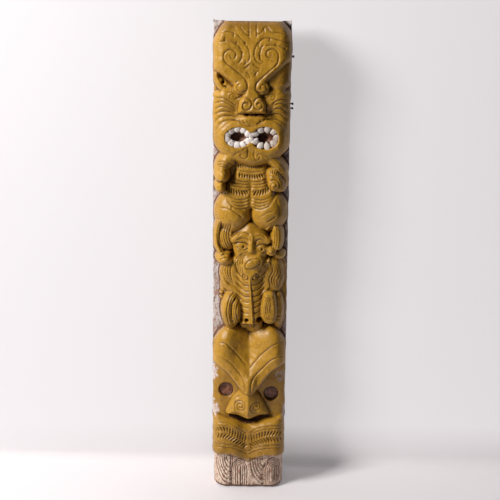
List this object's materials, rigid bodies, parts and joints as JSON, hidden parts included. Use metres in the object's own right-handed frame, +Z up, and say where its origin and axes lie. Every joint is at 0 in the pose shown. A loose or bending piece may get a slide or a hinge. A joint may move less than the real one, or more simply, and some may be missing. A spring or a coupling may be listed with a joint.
{
  "type": "maori carved post",
  "caption": "Tall carved wooden wall post in high relief: a large mask with a shell-ringed mouth, a small figure, a wide lower face and a carved base block.",
  "frame": {"origin": "middle of the footprint, on the flat underside", "axes": "+Z up along the post, -Y towards the carved front, +X to the right as seen from the front"},
  "size_m": [0.199, 0.1294, 1.25],
  "materials": {
    "painted_wood": "satin",
    "shell": "satin",
    "rusted_iron": "rough"
  },
  "bodies": {
    "root": {"carved_post": "painted_wood", "mouth_shell_left_1": "shell", "mouth_shell_left_2": "shell", "mouth_shell_left_3": "shell", "mouth_shell_left_4": "shell", "mouth_shell_left_5": "shell", "mouth_shell_left_6": "shell", "mouth_shell_left_7": "shell", "mouth_shell_left_8": "shell", "mouth_shell_left_9": "shell", "mouth_shell_left_10": "shell", "mouth_shell_right_1": "shell", "mouth_shell_right_2": "shell", "mouth_shell_right_3": "shell", "mouth_shell_right_4": "shell", "mouth_shell_right_5": "shell", "mouth_shell_right_6": "shell", "mouth_shell_right_7": "shell", "mouth_shell_right_8": "shell", "mouth_shell_right_9": "shell", "mouth_shell_middle_1": "shell", "mouth_shell_middle_2": "shell", "edge_nail_top": "rusted_iron", "edge_nail_upper": "rusted_iron", "edge_nail_lower": "rusted_iron"}
  },
  "joints": []
}
